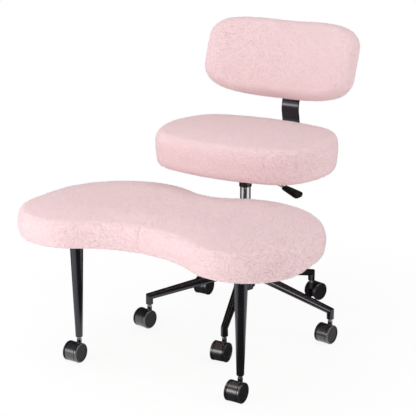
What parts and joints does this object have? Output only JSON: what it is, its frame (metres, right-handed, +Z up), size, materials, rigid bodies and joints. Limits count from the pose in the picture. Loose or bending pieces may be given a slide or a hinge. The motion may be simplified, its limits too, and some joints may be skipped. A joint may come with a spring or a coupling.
{
  "type": "cross-legged office chair",
  "caption": "Plush office chair with a low back and a kidney-shaped leg platform that turns about the gas-lift column, on a star base and legs with twin-wheel casters.",
  "frame": {"origin": "where the column's axis meets the floor", "axes": "+Z up along the column, -Y to the front, where the leg platform stands, +X to the lever's side"},
  "size_m": [0.7646, 0.8603, 0.7829],
  "materials": {
    "plush_pink": "short soft pile",
    "black_steel": "gloss powder coat",
    "chrome": "bright plate",
    "zinc_steel": "zinc plate",
    "black_nylon": "satin",
    "pale_bush": "satin",
    "plywood": "bare plywood"
  },
  "bodies": {
    "base": {"base_hub": "black_steel", "base_arm_1": "black_steel", "base_arm_2": "black_steel", "base_arm_3": "black_steel", "base_arm_4": "black_steel", "base_arm_5": "black_steel", "base_caster_stems": "zinc_steel", "gas_cylinder": "black_steel", "guide_bush": "pale_bush", "thrust_bearing": "zinc_steel"},
    "lift": {"piston_rod": "zinc_steel", "retaining_clip": "zinc_steel"},
    "seat": {"column_tube": "chrome", "seat_plate": "black_steel", "seat_board": "plywood", "seat_cushion": "plush_pink", "seat_bolts": "zinc_steel", "back_bar": "black_steel", "back_board": "plywood", "back_cushion": "plush_pink"},
    "lever": {"lever_rod": "black_steel", "lever_paddle": "black_nylon"},
    "release_pin": {"release_pin": "zinc_steel"},
    "platform": {"swivel_sleeve": "black_steel", "sleeve_bushes": "pale_bush", "platform_arm": "black_steel", "platform_board": "plywood", "platform_cushion": "plush_pink", "platform_bolts": "zinc_steel", "leg_left": "black_steel", "leg_right": "black_steel", "leg_caster_stems": "zinc_steel"},
    "caster_1": {"caster_1_body": "black_nylon", "caster_1_axle": "zinc_steel"},
    "caster_1_right_wheel": {"caster_1_wheel_right": "black_nylon"},
    "caster_1_left_wheel": {"caster_1_wheel_left": "black_nylon"},
    "caster_2": {"caster_2_body": "black_nylon", "caster_2_axle": "zinc_steel"},
    "caster_2_right_wheel": {"caster_2_wheel_right": "black_nylon"},
    "caster_2_left_wheel": {"caster_2_wheel_left": "black_nylon"},
    "caster_3": {"caster_3_body": "black_nylon", "caster_3_axle": "zinc_steel"},
    "caster_3_right_wheel": {"caster_3_wheel_right": "black_nylon"},
    "caster_3_left_wheel": {"caster_3_wheel_left": "black_nylon"},
    "caster_4": {"caster_4_body": "black_nylon", "caster_4_axle": "zinc_steel"},
    "caster_4_right_wheel": {"caster_4_wheel_right": "black_nylon"},
    "caster_4_left_wheel": {"caster_4_wheel_left": "black_nylon"},
    "caster_5": {"caster_5_body": "black_nylon", "caster_5_axle": "zinc_steel"},
    "caster_5_right_wheel": {"caster_5_wheel_right": "black_nylon"},
    "caster_5_left_wheel": {"caster_5_wheel_left": "black_nylon"},
    "caster_6": {"caster_6_body": "black_nylon", "caster_6_axle": "zinc_steel"},
    "caster_6_right_wheel": {"caster_6_wheel_right": "black_nylon"},
    "caster_6_left_wheel": {"caster_6_wheel_left": "black_nylon"},
    "caster_7": {"caster_7_body": "black_nylon", "caster_7_axle": "zinc_steel"},
    "caster_7_right_wheel": {"caster_7_wheel_right": "black_nylon"},
    "caster_7_left_wheel": {"caster_7_wheel_left": "black_nylon"}
  },
  "joints": [
    {"name": "seat_swivel", "type": "hinge", "parent": "base", "child": "lift", "pos_m": [0, 0, 0.111], "axis": [0, 0, 1], "continuous": true},
    {"name": "seat_height", "type": "slide", "parent": "lift", "child": "seat", "axis": [0, 0, 1], "range_m": [0, 0.08]},
    {"name": "lever_lift", "type": "hinge", "parent": "seat", "child": "lever", "pos_m": [0.0435, 0, 0.415], "axis": [0, -1, 0], "range_deg": [0, 5], "stiffness_Nm_per_rad": 4, "springref_deg": -5.73},
    {"name": "pin_press", "type": "slide", "parent": "seat", "child": "release_pin", "axis": [0, 0, 1], "range_m": [-0.0045, 0]},
    {"name": "platform_swivel", "type": "hinge", "parent": "base", "child": "platform", "pos_m": [0, 0, 0.329], "axis": [0, 0, 1], "continuous": true},
    {"name": "caster_1_swivel", "type": "hinge", "parent": "base", "child": "caster_1", "pos_m": [0.254, 0, 0.052], "axis": [0, 0, 1], "continuous": true},
    {"name": "caster_1_right_roll", "type": "hinge", "parent": "caster_1", "child": "caster_1_right_wheel", "pos_m": [0.25118, -0.01778, 0.025], "axis": [0.9877, -0.1564, 0], "continuous": true},
    {"name": "caster_1_left_roll", "type": "hinge", "parent": "caster_1", "child": "caster_1_left_wheel", "pos_m": [0.25118, -0.01778, 0.025], "axis": [0.9877, -0.1564, 0], "continuous": true},
    {"name": "caster_2_swivel", "type": "hinge", "parent": "base", "child": "caster_2", "pos_m": [0.07849, 0.24157, 0.052], "axis": [0, 0, 1], "continuous": true},
    {"name": "caster_2_right_roll", "type": "hinge", "parent": "caster_2", "child": "caster_2_right_wheel", "pos_m": [0.08405, 0.25869, 0.025], "axis": [-0.9511, 0.309, 0], "continuous": true},
    {"name": "caster_2_left_roll", "type": "hinge", "parent": "caster_2", "child": "caster_2_left_wheel", "pos_m": [0.08405, 0.25869, 0.025], "axis": [-0.9511, 0.309, 0], "continuous": true},
    {"name": "caster_3_swivel", "type": "hinge", "parent": "base", "child": "caster_3", "pos_m": [-0.20549, 0.1493, 0.052], "axis": [0, 0, 1], "continuous": true},
    {"name": "caster_3_right_roll", "type": "hinge", "parent": "caster_3", "child": "caster_3_right_wheel", "pos_m": [-0.20549, 0.1313, 0.025], "axis": [1, 0, 0], "continuous": true},
    {"name": "caster_3_left_roll", "type": "hinge", "parent": "caster_3", "child": "caster_3_left_wheel", "pos_m": [-0.20549, 0.1313, 0.025], "axis": [1, 0, 0], "continuous": true},
    {"name": "caster_4_swivel", "type": "hinge", "parent": "base", "child": "caster_4", "pos_m": [-0.20549, -0.1493, 0.052], "axis": [0, 0, 1], "continuous": true},
    {"name": "caster_4_right_roll", "type": "hinge", "parent": "caster_4", "child": "caster_4_right_wheel", "pos_m": [-0.20892, -0.16697, 0.025], "axis": [0.9816, -0.1908, 0], "continuous": true},
    {"name": "caster_4_left_roll", "type": "hinge", "parent": "caster_4", "child": "caster_4_left_wheel", "pos_m": [-0.20892, -0.16697, 0.025], "axis": [0.9816, -0.1908, 0], "continuous": true},
    {"name": "caster_5_swivel", "type": "hinge", "parent": "base", "child": "caster_5", "pos_m": [0.07849, -0.24157, 0.052], "axis": [0, 0, 1], "continuous": true},
    {"name": "caster_5_right_roll", "type": "hinge", "parent": "caster_5", "child": "caster_5_right_wheel", "pos_m": [0.07975, -0.25952, 0.025], "axis": [0.9976, 0.0698, 0], "continuous": true},
    {"name": "caster_5_left_roll", "type": "hinge", "parent": "caster_5", "child": "caster_5_left_wheel", "pos_m": [0.07975, -0.25952, 0.025], "axis": [0.9976, 0.0698, 0], "continuous": true},
    {"name": "caster_6_swivel", "type": "hinge", "parent": "platform", "child": "caster_6", "pos_m": [-0.231, -0.43, 0.052], "axis": [0, 0, 1], "continuous": true},
    {"name": "caster_6_right_roll", "type": "hinge", "parent": "caster_6", "child": "caster_6_right_wheel", "pos_m": [-0.23163, -0.44799, 0.025], "axis": [0.9994, -0.0349, 0], "continuous": true},
    {"name": "caster_6_left_roll", "type": "hinge", "parent": "caster_6", "child": "caster_6_left_wheel", "pos_m": [-0.23163, -0.44799, 0.025], "axis": [0.9994, -0.0349, 0], "continuous": true},
    {"name": "caster_7_swivel", "type": "hinge", "parent": "platform", "child": "caster_7", "pos_m": [0.231, -0.43, 0.052], "axis": [0, 0, 1], "continuous": true},
    {"name": "caster_7_right_roll", "type": "hinge", "parent": "caster_7", "child": "caster_7_right_wheel", "pos_m": [0.23069, -0.448, 0.025], "axis": [0.9998, -0.0175, 0], "continuous": true},
    {"name": "caster_7_left_roll", "type": "hinge", "parent": "caster_7", "child": "caster_7_left_wheel", "pos_m": [0.23069, -0.448, 0.025], "axis": [0.9998, -0.0175, 0], "continuous": true}
  ],
  "couplings": [
    {"joint": "pin_press", "follows": "lever_lift", "m_per_rad": -0.0435}
  ]
}
